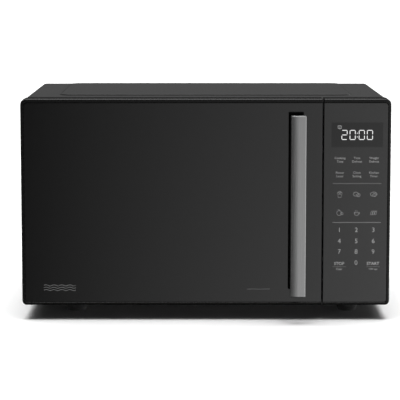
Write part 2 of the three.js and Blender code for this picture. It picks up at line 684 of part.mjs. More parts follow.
function doorLatch() {
  const bar = box(LATCH_X, [-147, -141], [HOOK_Z[0] - 10, HOOK_Z[1] + 28]);
  const hooks = HOOK_Z.map((z) => sweep(polygon([
    [-142, z + 4], [-118.5, z + 4], [-118.5, z], [-112, z],
    [HOOK_TIP_Y, z + 4], [HOOK_TIP_Y, z + 16], [-142, z + 16],
  ]), 'x', LATCH_X));
  return piece('door_latch', join(bar, ...hooks), 'whitePlastic');
}

// Coil spring that presses the latch down, standing on the top of its bar.
class Helix extends THREE.Curve {
  constructor(radius, turns, from, to) {
    super();
    Object.assign(this, { radius, turns, from, to });
  }

  getPoint(t, target = new THREE.Vector3()) {
    const angle = 2 * Math.PI * this.turns * t;
    return target.set(
      this.radius * Math.cos(angle), this.radius * Math.sin(angle), this.from + (this.to - this.from) * t);
  }
}

function latchSpring() {
  const foot = HOOK_Z[1] + 28;
  const wire = new THREE.Shape().absarc(0, 0, 0.5, 0, 2 * Math.PI);
  const path = new Helix(2.4, 6, foot + 0.9, foot + 21);
  const coil = new THREE.ExtrudeGeometry(wire, { extrudePath: path, steps: 72, curveSegments: 3 });
  const mesh = piece('latch_spring', solidOf(coil), 'zincSteel');
  mesh.position.set((LATCH_X[0] + LATCH_X[1]) / 2, -144, 0);
  return mesh;
}

// ---------------------------------------------------------------- assembly

function casing() {
  const feet = FOOT_X.flatMap((x, i) => FOOT_Y.map((y, k) => (
    foot(`foot_${['front', 'rear'][k]}_${['left', 'right'][i]}`, x, y))));
  return groupOf(
    outerCabinet(), basePlate(), rearPanel(), cordGland(), ...feet,
    rearSpacer('rear_spacer_left', -150), rearSpacer('rear_spacer_right', 60));
}

function oven() {
  return groupOf(
    cavityFrontPlate(), ovenCavity(), waveguideCover(), turntableMotor(), turntable(),
    cavityLamp(), lampHolder());
}

function electrics() {
  return groupOf(
    waveguide(), magnetron(), transformer(), highVoltageCapacitor(), noiseFilterBoard(),
    fanShroud(), fanMotor(), fanImpeller(), airDuct());
}

function interlock() {
  const upper = HOOK_Z[1];
  const lower = HOOK_Z[0];
  return groupOf(
    interlockBracket(),
    doorSwitch('primary', [upper + 9.3, upper + 37], upper + 12.4),
    doorSwitch('monitor', [upper - 19, upper + 9], upper + 6.4),
    doorSwitch('secondary', [lower + 2, lower + 30], lower + 10));
}

function controlPanel() {
  return groupOf(controlPanelHousing(), controlPanelGlass(), displayModule(), controlBoard());
}

function door() {
  return groupOf(
    doorFrame(), doorGlass(), doorInnerFrame(), doorScreen(), doorInnerWindow(), chokeCover(),
    handleTrim(), handleBody(), doorLatch(), latchSpring(),
    hingePin('hinge_pin_lower', EAR_Z[0]), hingePin('hinge_pin_upper', EAR_Z[1]));
}

function hinges() {
  return groupOf(
    hingeBracket('hinge_bracket_lower', EAR_Z[0]), hingeBracket('hinge_bracket_upper', EAR_Z[1]));
}

const microwaveOven = groupOf(
  casing(), oven(), electrics(), interlock(), controlPanel(), door(), hinges());
microwaveOven.position.z = LIFT;

export default microwaveOven;
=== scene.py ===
import math

import bmesh
import bpy
from mathutils import Matrix, Vector


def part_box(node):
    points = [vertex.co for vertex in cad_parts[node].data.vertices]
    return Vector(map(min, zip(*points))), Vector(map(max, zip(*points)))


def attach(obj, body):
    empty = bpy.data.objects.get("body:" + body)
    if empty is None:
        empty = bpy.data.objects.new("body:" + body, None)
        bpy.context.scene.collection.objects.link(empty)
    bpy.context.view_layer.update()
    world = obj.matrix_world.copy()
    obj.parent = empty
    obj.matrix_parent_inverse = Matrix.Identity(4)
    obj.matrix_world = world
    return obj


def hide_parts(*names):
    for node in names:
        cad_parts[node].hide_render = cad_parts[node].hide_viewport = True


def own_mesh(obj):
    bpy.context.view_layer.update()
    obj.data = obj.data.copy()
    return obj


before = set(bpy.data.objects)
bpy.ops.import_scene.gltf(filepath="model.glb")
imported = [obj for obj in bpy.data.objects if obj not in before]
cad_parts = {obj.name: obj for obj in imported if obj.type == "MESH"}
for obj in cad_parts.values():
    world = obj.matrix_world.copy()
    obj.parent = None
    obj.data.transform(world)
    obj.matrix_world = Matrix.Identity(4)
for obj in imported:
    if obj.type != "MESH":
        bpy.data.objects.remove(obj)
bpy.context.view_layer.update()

MM = 0.001
QUARTER = math.pi / 2


def span(node, axis):
    """The low and high ends of a CAD node along one axis, in millimetres."""
    low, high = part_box(node)
    return low[axis] / MM, high[axis] / MM


X, Y, Z = 0, 1, 2
DOOR_X = span("door_frame", X)
PANEL_X = span("control_panel_housing", X)
FRONT_Y = span("door_frame", Y)
FRONT_Z = span("door_frame", Z)
GLASS_Z = span("door_glass", Z)
GLASS_Y = span("door_glass", Y)
PANEL_GLASS_X = span("control_panel_glass", X)
DOOR_GLASS_X = span("door_glass", X)
CABINET_X = span("outer_cabinet", X)
CABINET_Y = span("outer_cabinet", Y)
CABINET_Z = span("outer_cabinet", Z)
TRIM_X = span("handle_trim", X)
TRIM_Y = span("handle_trim", Y)
TRIM_Z = span("handle_trim", Z)

BASE = FRONT_Z[0] - 9.0  # heights written in this script are measured from this level
TOP_CORNER = 8.0  # corner radii of the front
BOTTOM_CORNER = 6.0
BEVEL = 2.6  # of the front's outer edge
SQUARE = 0.5  # corner radius of a pane and its surround beside the seam between door and panel
SKIN = 0.06  # how far printed marks stand in front of the glass
MARK_Y = GLASS_Y[0] - SKIN
RAISED_Y = GLASS_Y[0] - 2 * SKIN  # for what is drawn over the display's window
EARS = (20.0, 270.0)  # heights of the two hinge ears
POSTS = {"lower": 42.0, "upper": 246.0}  # heights of the handle's two posts
FLANGE = 9.0  # width of the lips that the wrap turns in under the sides and behind
CABINET_TOP = CABINET_Z[1] - 1.5  # level of the wrap's top around its raised panel
EMBOSS_X = (-195.0, 195.0)
EMBOSS_Y = (-77.0, 165.0)
# Raised panel's edge, as (how far outside the panel, part of its height) from the sheet inwards.
EMBOSS_STEPS = (
    (1.8, 0), (1.5, -0.4), (0.3, -0.5), (0.1, 0.1), (0, 0.6), (-0.15, 0.85), (-0.5, 1.0), (-4, 1.0),
)
VENT = 3.6  # height of a vent slot
# Columns of vents, as (span across, height of the lowest slot, number of slots).
LEFT_VENTS = (((112, 150), 170, 6),)
RIGHT_VENTS = (((66, 104), 90, 10), ((116, 154), 90, 10))
REAR_VENTS = (((136, 174), 134, 9), ((182, 220), 134, 9), ((-200, -150), 190, 5))


# ---------- node helpers

def new_material(name, color, roughness, metallic=0.0, **sockets):
    """A node material, its tree and its shader. sockets are other inputs, with _ for a space."""
    material = bpy.data.materials.new(name)
    material.use_nodes = True
    shader = material.node_tree.nodes["Principled BSDF"]
    shader.inputs["Base Color"].default_value = (*color, 1)
    shader.inputs["Roughness"].default_value = roughness
    shader.inputs["Metallic"].default_value = metallic
    for socket, value in sockets.items():
        shader.inputs[socket.replace("_", " ")].default_value = value
    return material, material.node_tree, shader


def noise(tree, per_mm, stretch=(1, 1, 1), detail=3.0):
    """Noise fixed to the object: its grain is about 1 / per_mm millimetres."""
    place = tree.nodes.new("ShaderNodeTexCoord")
    mapping = tree.nodes.new("ShaderNodeMapping")
    mapping.inputs["Scale"].default_value = [per_mm / MM * s for s in stretch]
    texture = tree.nodes.new("ShaderNodeTexNoise")
    texture.inputs["Scale"].default_value = 1.0
    texture.inputs["Detail"].default_value = detail
    tree.links.new(place.outputs["Object"], mapping.inputs["Vector"])
    tree.links.new(mapping.outputs["Vector"], texture.inputs["Vector"])
    return texture.outputs["Fac"]


def cells(tree, per_mm, feature="F1", output="Distance"):
    """Voronoi cells fixed to the object, about 1 / per_mm millimetres across."""
    place = tree.nodes.new("ShaderNodeTexCoord")
    texture = tree.nodes.new("ShaderNodeTexVoronoi")
    texture.feature = feature
    texture.inputs["Scale"].default_value = per_mm / MM
    tree.links.new(place.outputs["Object"], texture.inputs["Vector"])
    return texture.outputs[output]


def remap(tree, value, from_range, to_range):
    """value stretched from one range to another, and held at its ends."""
    node = tree.nodes.new("ShaderNodeMapRange")
    node.inputs["From Min"].default_value, node.inputs["From Max"].default_value = from_range
    node.inputs["To Min"].default_value, node.inputs["To Max"].default_value = to_range
    tree.links.new(value, node.inputs["Value"])
    return node.outputs["Result"]


def calculate(tree, operation, first, second=0.0):
    """A math node of two numbers or sockets."""
    node = tree.nodes.new("ShaderNodeMath")
    node.operation = operation
    for socket, value in zip(node.inputs, (first, second)):
        if isinstance(value, (int, float)):
            socket.default_value = value
        else:
            tree.links.new(value, socket)
    return node.outputs["Value"]


def blend_colors(tree, factor, first, second):
    """A colour between two, first where factor is 0."""
    node = tree.nodes.new("ShaderNodeMix")
    node.data_type = "RGBA"
    node.inputs["A"].default_value = (*first, 1)
    node.inputs["B"].default_value = (*second, 1)
    tree.links.new(factor, node.inputs["Factor"])
    return node.outputs["Result"]


def add_bump(tree, shader, height, distance_mm, strength=1.0):
    """Bumps of a height in millimetres under a shader's surface."""
    node = tree.nodes.new("ShaderNodeBump")
    node.inputs["Distance"].default_value = distance_mm * MM
    node.inputs["Strength"].default_value = strength
    tree.links.new(height, node.inputs["Height"])
    tree.links.new(node.outputs["Normal"], shader.inputs["Normal"])


def grain(tree, shader, colors, color_noise, rough, rough_noise):
    """Varies colour and roughness by two noises."""
    color = blend_colors(tree, remap(tree, color_noise, (0.3, 0.7), (0, 1)), *colors)
    tree.links.new(color, shader.inputs["Base Color"])
    tree.links.new(remap(tree, rough_noise, (0.3, 0.7), rough), shader.inputs["Roughness"])


def vary_roughness(tree, shader, per_mm, rough):
    """Varies roughness by a noise."""
    value = remap(tree, noise(tree, per_mm), (0.3, 0.7), rough)
    tree.links.new(value, shader.inputs["Roughness"])


def gray(value, tint=0.0):
    """A grey, made bluer by tint."""
    return (value, value, value * (1 + tint))


# ---------- materials

def glass_black(name, level, shine=0.5):
    """Glossy black glass, with a faint unevenness in its polish."""
    material, tree, shader = new_material(name, gray(level), 0.03, Specular_IOR_Level=shine)
    polish = remap(tree, noise(tree, 0.02, detail=5), (0.35, 0.75), (0.015, 0.05))
    tree.links.new(polish, shader.inputs["Roughness"])
    color = blend_colors(tree, noise(tree, 0.03), gray(level * 0.8), gray(level * 1.2))
    tree.links.new(color, shader.inputs["Base Color"])
    return material


def plastic_black(name="plastic_black", level=0.012, rough=(0.26, 0.36), texture=0.012, shine=0.5):
    """Black plastic, its moulded texture given in millimetres."""
    material, tree, shader = new_material(name, gray(level), 0.3, Specular_IOR_Level=shine)
    colors = (gray(level * 0.85), gray(level * 1.2))
    grain(tree, shader, colors, noise(tree, 0.05), rough, noise(tree, 0.3))
    add_bump(tree, shader, noise(tree, 2.2, detail=2), texture)
    return material


def powder_coat():
    """Dark grey paint with an orange-peel surface."""
    material, tree, shader = new_material("powder_coat", gray(0.026), 0.5, Specular_IOR_Level=0.2)
    colors = (gray(0.0235), gray(0.028))
    grain(tree, shader, colors, noise(tree, 0.35, detail=6), (0.42, 0.52), noise(tree, 0.6))
    add_bump(tree, shader, noise(tree, 1.3, detail=3), 0.03)
    return material


def brushed(name, level, stretch, rough):
    """Metal with fine streaks along the axes where stretch is small."""
    material, tree, shader = new_material(name, gray(level), rough[0], 1.0, Anisotropic=0.6)
    streaks = noise(tree, 2.5, stretch=stretch, detail=4)
    grain(tree, shader, (gray(level * 0.86), gray(level * 1.1)), streaks, rough, streaks)
    add_bump(tree, shader, streaks, 0.01, 0.35)
    return material


def zinc(name="zinc_steel", level=1.0):
    """Galvanised steel with a faint spangle."""
    material, tree, shader = new_material(name, gray(0.5 * level), 0.4, 1.0)
    spangle = cells(tree, 0.22, output="Color")
    split = tree.nodes.new("ShaderNodeSeparateColor")
    tree.links.new(spangle, split.inputs["Color"])
    colors = (gray(0.47 * level, 0.03), gray(0.52 * level, 0.03))
    grain(tree, shader, colors, split.outputs["Red"], (0.4, 0.46), split.outputs["Green"])
    add_bump(tree, shader, noise(tree, 0.8), 0.008)
    return material


def enamel():
    """Grey cavity paint with small darker specks."""
    material, tree, shader = new_material("cavity_enamel", gray(0.3), 0.3)
    specks = remap(tree, cells(tree, 0.9), (0.1, 0.22), (0, 1))
    tree.links.new(blend_colors(tree, specks, gray(0.28), gray(0.3)), shader.inputs["Base Color"])
    vary_roughness(tree, shader, 0.1, (0.26, 0.34))
    add_bump(tree, shader, noise(tree, 0.5, detail=2), 0.01)
    return material


def clear_glass(name, tint):
    """Clear glass with slight waves."""
    material, tree, shader = new_material(name, tint, 0.02, Transmission_Weight=1.0, IOR=1.5)
    polish = remap(tree, noise(tree, 0.05, detail=4), (0.3, 0.8), (0.0, 0.06))
    tree.links.new(polish, shader.inputs["Roughness"])
    add_bump(tree, shader, noise(tree, 0.04), 0.05, 0.3)
    return material


def mica():
    """Flaky brown mica."""
    material, tree, shader = new_material("mica_sheet", (0.42, 0.36, 0.25), 0.45)
    colors = ((0.3, 0.25, 0.16), (0.55, 0.48, 0.34))
    grain(tree, shader, colors, noise(tree, 0.08, detail=8), (0.3, 0.6), noise(tree, 0.2))
    add_bump(tree, shader, noise(tree, 0.6), 0.04)
    return material


def moulded(name, color, rough):
    """Plain moulded plastic."""
    material, tree, shader = new_material(name, color, rough[0])
    darker = tuple(c * 0.88 for c in color)
    grain(tree, shader, (darker, color), noise(tree, 0.06), rough, noise(tree, 0.4))
    add_bump(tree, shader, noise(tree, 1.5), 0.015)
    return material


def copper_winding():
    """Enamelled copper wire, wound in layers along Z."""
    material, tree, shader = new_material("copper_winding", (0.5, 0.2, 0.08), 0.3, 1.0)
    wires = noise(tree, 1.2, stretch=(0.02, 0.02, 1), detail=1)
    grain(tree, shader, ((0.28, 0.1, 0.04), (0.62, 0.27, 0.12)), wires, (0.25, 0.45), wires)
    add_bump(tree, shader, wires, 0.25)
    return material


def circuit_board():
    """Green board with paler tracks."""
    material, tree, shader = new_material("circuit_board", (0.03, 0.12, 0.05), 0.4)
    tracks = remap(tree, cells(tree, 0.3, "DISTANCE_TO_EDGE"), (0.02, 0.05), (1, 0))
    color = blend_colors(tree, tracks, (0.02, 0.09, 0.04), (0.06, 0.2, 0.09))
    tree.links.new(color, shader.inputs["Base Color"])
    vary_roughness(tree, shader, 0.2, (0.3, 0.5))
    add_bump(tree, shader, tracks, 0.05)
    return material


def rubber():
    """Matt black rubber."""
    material, tree, shader = new_material("moulded_rubber", gray(0.02), 0.8)
    grain(tree, shader, (gray(0.014), gray(0.03)), noise(tree, 0.2), (0.7, 0.9), noise(tree, 0.5))
    add_bump(tree, shader, noise(tree, 2.0), 0.03)
    return material


def dot_grid(tree, pitch_mm, radius_mm):
    """1 inside round holes of a staggered grid on an XZ sheet, and 0 between them."""
    place = tree.nodes.new("ShaderNodeTexCoord")
    split = tree.nodes.new("ShaderNodeSeparateXYZ")
    tree.links.new(place.outputs["Object"], split.inputs["Vector"])

    def lattice(shift):
        squares = []
        for axis, pitch in (("X", pitch_mm), ("Z", pitch_mm * math.sqrt(3))):
            scaled = calculate(tree, "DIVIDE", split.outputs[axis], pitch * MM)
            offset = calculate(tree, "WRAP", calculate(tree, "ADD", scaled, shift), 0.5)
            offset.node.inputs[2].default_value = -0.5
            distance = calculate(tree, "MULTIPLY", offset, pitch)
            squares.append(calculate(tree, "MULTIPLY", distance, distance))
        return calculate(tree, "SQRT", calculate(tree, "ADD", *squares))

    nearest = calculate(tree, "MINIMUM", lattice(0.0), lattice(0.5))
    return remap(tree, nearest, (radius_mm * 0.9, radius_mm * 1.1), (1, 0))


def perforated():
    """Black steel sheet with rows of small holes, bumped in and painted nearly black: painted shade seen
    through them.
    """
    material, tree, shader = new_material("perforated_screen", gray(0.04), 0.4)
    holes_and_their_shade = dot_grid(tree, 2.2, 0.75)
    # The holes are painted nearly black: painted shade standing in for what real holes would show.
    tree.links.new(blend_colors(tree, holes_and_their_shade, gray(0.06), gray(0.002)), shader.inputs["Base Color"])
    vary_roughness(tree, shader, 0.3, (0.35, 0.5))
    inverted = remap(tree, holes_and_their_shade, (0, 1), (1, 0))
    add_bump(tree, shader, inverted, 0.3)
    return material


def printed(name, level):
    """Grey ink printed on the glass."""
    material, tree, shader = new_material(name, gray(level), 0.35)
    color = blend_colors(tree, noise(tree, 0.8), gray(level * 0.93), gray(level * 1.05))
    tree.links.new(color, shader.inputs["Base Color"])
    vary_roughness(tree, shader, 0.5, (0.3, 0.4))
    return material


def lit(name, level):
    """A white surface that glows."""
    material, tree, shader = new_material(name, gray(0.02), 0.3, Emission_Strength=level)
    shader.inputs["Emission Color"].default_value = (1, 1, 1, 1)
    vary_roughness(tree, shader, 0.5, (0.3, 0.4))
    return material


LOOKS = {
    "door_glass": glass_black("door_glass_black", 0.0007),
    "panel_glass": glass_black("panel_glass_black", 0.004),
    "plastic": plastic_black(),
    "rim": plastic_black("rim_plastic", 0.003, (0.24, 0.3), 0.0012, 0.16),
    "handle_back": plastic_black("handle_back_plastic", 0.004, (0.2, 0.3), 0.004),
    "paint": powder_coat(),
    "handle": brushed("handle_brushed", 0.30, (1, 1, 0.01), (0.2, 0.27)),
    "zinc": zinc(),
    # Zinc darkened to a tenth: painted shade, so that little light bounces onto the floor under the oven.
    "underside_shade_zinc": zinc("zinc_steel_darkened_as_underside_shade", 0.1),
    "enamel": enamel(),
    "clear": clear_glass("clear_glass", (0.93, 0.98, 0.965)),
    "mica": mica(),
    "white": moulded("white_acetal", (0.72, 0.72, 0.69), (0.35, 0.45)),
    "copper": copper_winding(),
    "aluminium": brushed("mill_aluminium", 0.62, (0.03, 1, 1), (0.28, 0.4)),
    "board": circuit_board(),
    "rubber": rubber(),
    "screen": perforated(),
    "print": printed("legend_print", 0.33),
    "print_dim": printed("legend_print_dim", 0.15),
    "print_faint": printed("legend_print_faint", 0.09),
    "window": glass_black("display_window_black", 0.0003, 0.41),
    "digits": lit("display_digits_lit", 1.0),
}

# ---------- mesh helpers

def rounded_outline(x_span, z_span, radii, arc=6):
    """Points round a rectangle, from its top right corner over its top left.

    radii are those of the top right, top left, bottom left and bottom right corners.
    """
    (x0, x1), (z0, z1) = x_span, z_span
    corners = [(x1, z1, -1, -1), (x0, z1, 1, -1), (x0, z0, 1, 1), (x1, z0, -1, 1)]
    points = []
    for turn, ((x, z, sx, sz), radius) in enumerate(zip(corners, radii)):
        centre_x, centre_z = x + sx * radius, z + sz * radius
        for step in range(arc + 1):
            angle = QUARTER * (turn + step / arc)
            points.append((centre_x + radius * math.cos(angle), centre_z + radius * math.sin(angle)))
    return points


def circle(count, start=0.0):
    """Angles round a full turn, the first at start steps."""
    return [2 * math.pi * (i + start) / count for i in range(count)]


def add_loop(bm, points):
    """Vertices at points given in millimetres."""
    return [bm.verts.new(Vector(p) * MM) for p in points]


def bridge(bm, first, second):
    """Faces between two closed loops of vertices."""
    for i, (a, b) in enumerate(zip(first, second)):
        k = (i + 1) % len(first)
        bm.faces.new((a, first[k], second[k], b))


def loft(bm, loops, ring=False):
    """A skin through closed loops of points.

    With ring the last loop is joined to the first, otherwise both are closed with a face.
    """
    made = [add_loop(bm, loop) for loop in loops]
    for first, second in zip(made, made[1:]):
        bridge(bm, first, second)
    if ring:
        bridge(bm, made[-1], made[0])
    else:
        bm.faces.new(list(reversed(made[0])))
        bm.faces.new(made[-1])


def add_object(name, data):
    """A new object in the scene."""
    made = bpy.data.objects.new(name, data)
    bpy.context.scene.collection.objects.link(made)
    return made


def make_piece(name, bm, look, body, *nodes, angle=32.0, sheet=0.0):
    """An object from a mesh, which rides on a body in place of CAD nodes.

    Edges sharper than angle, in degrees, stay sharp. sheet, in millimetres, thickens an open skin.
    """
    bmesh.ops.remove_doubles(bm, verts=bm.verts, dist=1e-7)
    bmesh.ops.recalc_face_normals(bm, faces=bm.faces)
    mesh = bpy.data.meshes.new(name)
    bm.to_mesh(mesh)
    bm.free()
    mesh.shade_smooth()
    mesh.set_sharp_from_angle(angle=math.radians(angle))
    mesh.materials.append(LOOKS[look])
    piece = add_object(name, mesh)
    if sheet:
        solid = piece.modifiers.new("sheet", "SOLIDIFY")
        solid.thickness = sheet * MM
        solid.offset = -1
    flat = piece.modifiers.new("flat faces", "WEIGHTED_NORMAL")
    flat.keep_sharp = True
    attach(piece, body)
    if nodes:
        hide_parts(*nodes)
    return piece


def loft_piece(name, loops, look, body, *nodes, ring=False, angle=32.0):
    """A piece made of one skin through closed loops of points."""
    bm = bmesh.new()
    loft(bm, loops, ring)
    return make_piece(name, bm, look, body, *nodes, angle=angle)


def fill_between(bm, *loops):
    """Fills the flat region between one outer loop of vertices and the loops inside it."""
    edges = []
    for loop in loops:
        for first, second in zip(loop, loop[1:] + loop[:1]):
            edge = bm.edges.get((first, second)) or bm.edges.new((first, second))
            edges.append(edge)
    bmesh.ops.triangle_fill(bm, use_beauty=True, use_dissolve=False, edges=edges)


def plate(bm, outline, holes_and_their_shade, y_span):
    """A closed flat plate of (x, z) loops that stands across Y."""
    faces = []
    for y in y_span:
        made = [add_loop(bm, [(x, y, z) for x, z in loop]) for loop in [outline, *holes_and_their_shade]]
        fill_between(bm, *made)
        faces.append(made)
    for first, second in zip(*faces):
        bridge(bm, first, second)


def slot_outline(u_span, v_span):
    """A slot with nearly half-round ends."""
    radius = (v_span[1] - v_span[0]) / 2 * 0.98
    return rounded_outline(u_span, v_span, [radius] * 4, 4)


# ---------- front frames

def bevel_steps(front, size, steps=5):
    """(y, inset) pairs round an outer edge, from its side to its front."""
    return [
        (front + size * (1 - math.sin(QUARTER * i / steps)), size * (1 - math.cos(QUARTER * i / steps)))
        for i in range(steps + 1)
    ]


def frame_loop(x_span, y, insets, side, hang):
    """One loop of a front frame, across Y.

    insets are those of the outer edge, the top and the seam, and hang is a further one at the
    hinge. The seam is on the right where side is 1, and on the left where it is -1.
    """
    outer, top, seam = insets
    upper = max(TOP_CORNER - outer, 3.6)
    lower = max(BOTTOM_CORNER - outer, 2.4)
    if side > 0:
        left, right = outer + hang, seam
        radii = [SQUARE, upper, lower, SQUARE]
    else:
        left, right = seam, outer
        radii = [upper, SQUARE, SQUARE, lower]
    z_span = (FRONT_Z[0] + outer, FRONT_Z[1] - top)
    outline = rounded_outline((x_span[0] + left, x_span[1] - right), z_span, radii)
    return [(x, y, z) for x, z in outline]


def cut_boxes(piece, boxes):
    """Cuts boxes, given as (x span, y span, z span), out of a piece's mesh."""
    bm = bmesh.new()
    for (x0, x1), (y0, y1), z_span in boxes:
        corners = ((x0, y0), (x1, y0), (x1, y1), (x0, y1))
        loft(bm, [[(x, y, z) for x, y in corners] for z in z_span])
    bmesh.ops.recalc_face_normals(bm, faces=bm.faces)
    mesh = bpy.data.meshes.new("cutter")
    bm.to_mesh(mesh)
    bm.free()
    cutter = add_object("cutter", mesh)
    modifier = piece.modifiers.new("cut", "BOOLEAN")
    modifier.object = cutter
    modifier.solver = "EXACT"
    bpy.context.view_layer.update()
    cut = bpy.data.meshes.new_from_object(piece.evaluated_get(bpy.context.evaluated_depsgraph_get()))
    piece.modifiers.remove(modifier)
    piece.data = cut
    bpy.data.objects.remove(cutter)


def front_frame(name, x_span, side, body, node):
    """The plastic surround of a pane: outer wall, bevelled rim, and the shelf behind the pane."""
    front, back = FRONT_Y
    wall = 3.0
    lip = 0.3  # width of the rim at the seam
    round_back = 6.2  # radius of the back edge at the hinge
    rim = GLASS_Z[0] - FRONT_Z[0] - 0.25
    top_rim = FRONT_Z[1] - GLASS_Z[1] - 0.25
    shelf = GLASS_Y[1] + 0.3
    shelf_back = shelf + 2.7
    opening = (12, 12, 12)  # insets of the opening behind the pane
    hang = 4.0 if side > 0 else 0.0
    steps = [(back, (wall, wall, wall), hang)]
    if side > 0:
        for i in range(7):
            a = QUARTER * i / 6
            y = back - round_back * (1 - math.cos(a))
            steps.append((y, (0, 0, 0), round_back * (1 - math.sin(a))))
    else:
        steps.append((back, (0, 0, 0), 0))
    steps += [(y, (inset, inset, min(inset, lip * 0.6)), 0) for y, inset in bevel_steps(front, BEVEL)]
    steps += [
        (front, (rim - 0.5, top_rim - 0.5, lip * 0.7), 0),
        (front + 0.3, (rim - 0.2, top_rim - 0.2, lip * 0.9), 0),
        (shelf, (rim, top_rim, lip), 0),
        (shelf, opening, 0),
        (shelf_back, opening, 0),
        (shelf_back, (wall, wall, wall), hang),
    ]
    loops = [frame_loop(x_span, y, insets, side, extra) for y, insets, extra in steps]
    return loft_piece(name, loops, "rim", body, node, ring=True)


def door_surround():
    """The door's surround, with slots in its left side for the ears of the hinges."""
    piece = front_frame("door_surround", DOOR_X, 1, "door", "door_frame")
    x_span = (DOOR_X[0] - 2, DOOR_X[0] + 15)
    y_span = (FRONT_Y[1] - 18.5, FRONT_Y[1] + 1)
    cut_boxes(piece, [(x_span, y_span, (BASE + z - 1.8, BASE + z + 1.8)) for z in EARS])


def glass_slab(name, x_span, side, look, body, node):
    """A pane with a ground edge, round at its two outer corners."""
    front, back = GLASS_Y
    edge = 0.45  # width of the ground edge
    radii = [SQUARE, 4, 3, SQUARE] if side > 0 else [4, SQUARE, SQUARE, 3]
    loops = []
    for y, inset in ((back, 0.3), (back - 0.3, 0), (front + edge, 0), (front + 0.12, 0.14), (front, edge)):
        seam = 0.15 + inset * 0.4
        left, right = (inset, seam) if side > 0 else (seam, inset)
        z_span = (GLASS_Z[0] + inset, GLASS_Z[1] - inset)
        outline = rounded_outline((x_span[0] + left, x_span[1] - right), z_span, radii)
        loops.append([(x, y, z) for x, z in outline])
    loft_piece(name, loops, look, body, node)


# ---------- handle

def handle_trim():
    """A silver bar whose front rolls away on its left half, with bevelled edges and ends."""
    x0, x1 = TRIM_X
    front, back = TRIM_Y
    width = x1 - x0
    rolled = width * 0.52  # width of the part that rolls away
    roll = 0.62  # how far it falls back at its left edge
    edge = 1.1
    section = [(x1, back), (x1, front + 1.3), (x1 - 0.35, front + 0.5), (x1 - edge, front)]
    section += [(x0 + rolled, front)]
    for i in range(1, 9):
        t = i / 8
        section.append((x0 + rolled - (rolled - edge) * t, front + roll * t * t))
    section += [(x0 + 0.5, front + 1.25), (x0, front + 2.2), (x0, back)]
    middle_x = (x0 + x1) / 2
    loops = []
    for z, shrink, sink in (
        (TRIM_Z[0], 0.7, 1.0), (TRIM_Z[0] + 0.35, 0.25, 0.35), (TRIM_Z[0] + 1.0, 0, 0),
        (TRIM_Z[1] - 1.0, 0, 0), (TRIM_Z[1] - 0.35, 0.25, 0.35), (TRIM_Z[1], 0.7, 1.0),
    ):
        scale = 1 - 2 * shrink / width
        loops.append([
            (middle_x + (x - middle_x) * scale, min(y + sink, back), z) for x, y in section
        ])
    loft_piece("handle_bar", loops, "handle", "door", "handle_trim", angle=24)


def handle_back():
    """The black rear of the handle, with a rounded underside for the fingers, and its two posts."""
    x0, x1 = span("handle_body", X)
    top_y = TRIM_Y[1] + 0.3
    rear = top_y + 6.7
    angles = (0.4, 0.8, 1.2, QUARTER)
    section = [(x1, top_y), (x1, rear - 3)]
    section += [(x1 - 3 + 3 * math.cos(a), rear - 3 + 3 * math.sin(a)) for a in angles]
    section += [(x0 + 3 - 3 * math.cos(a), rear - 3 + 3 * math.sin(a)) for a in reversed(angles)]
    section += [(x0, rear - 3), (x0, top_y)]
    z0, z1 = span("handle_body", Z)
    loops = [[(x, y, z) for x, y in section] for z in (z0, z0 + 0.5, z1 - 0.5, z1)]
    loft_piece("handle_grip", loops, "handle_back", "door", "handle_body")
    middle = (x0 + x1) / 2
    glass = GLASS_Y[0]
    for label, height in POSTS.items():
        centre = BASE + height
        loops = []
        for y, half_x, half_z in (
            (rear + 0.02, 5.4, 8.4), (rear + 3, 5.2, 8.2), (glass - 2.2, 5.6, 8.6), (glass - 0.3, 7, 10),
        ):
            z_span = (centre - half_z, centre + half_z)
            outline = rounded_outline((middle - half_x, middle + half_x), z_span, [3.5] * 4)
            loops.append([(x, y, z) for x, z in outline])
        loft_piece(f"handle_post_{label}", loops, "handle_back", "door")


def latch_coil():
    """A compression spring with closed ends, built at the length of the latch spring's box."""
    low, high = (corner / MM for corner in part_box("latch_spring"))
    middle = (low + high) / 2
    wire = 0.5  # radius of the wire
    turns, per_turn, around = 7, 24, 8
    radius = (high.x - low.x) / 2 - wire
    path = []
    for step in range(turns * per_turn + 1):
        t = step / (turns * per_turn)
        climb = min(max((t * turns - 0.75) / (turns - 1.5), 0.0), 1.0)
        turned = 2 * math.pi * turns * t
        x = middle.x + radius * math.cos(turned)
        y = middle.y + radius * math.sin(turned)
        path.append(Vector((x, y, low.z + wire + (high.z - low.z - 2 * wire) * climb)))
    loops = []
    for i, point in enumerate(path):
        along = (path[min(i + 1, len(path) - 1)] - path[max(i - 1, 0)]).normalized()
        outward = Vector((point.x - middle.x, point.y - middle.y, 0)).normalized()
        across = along.cross(outward).normalized()
        loops.append([
            point + wire * 0.96 * (math.cos(a) * outward + math.sin(a) * across)
            for a in circle(around)
        ])
    piece = loft_piece("latch_coil_spring", loops, "zinc", "door", "latch_spring", angle=60)
    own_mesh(piece)


# ---------- cabinet

def wrap_profile(inset):
    """The wrap's section from its left foot over the top to its right foot, as (x, z) points."""
    side = CABINET_X[1] - inset
    top = CABINET_TOP - inset
    bottom = CABINET_Z[0]
    radius = max(TOP_CORNER - 1 - inset, 1.0)
    bend = 1.0
    half = [
        (side - FLANGE + inset, bottom), (side - bend, bottom), (side - 0.3, bottom + 0.3),
        (side, bottom + bend),
    ]
    for step in range(9):
        a = QUARTER * step / 8
        half.append((side - radius + radius * math.cos(a), top - radius + radius * math.sin(a)))
    return [(-x, z) for x, z in half] + [(x, z) for x, z in reversed(half)]


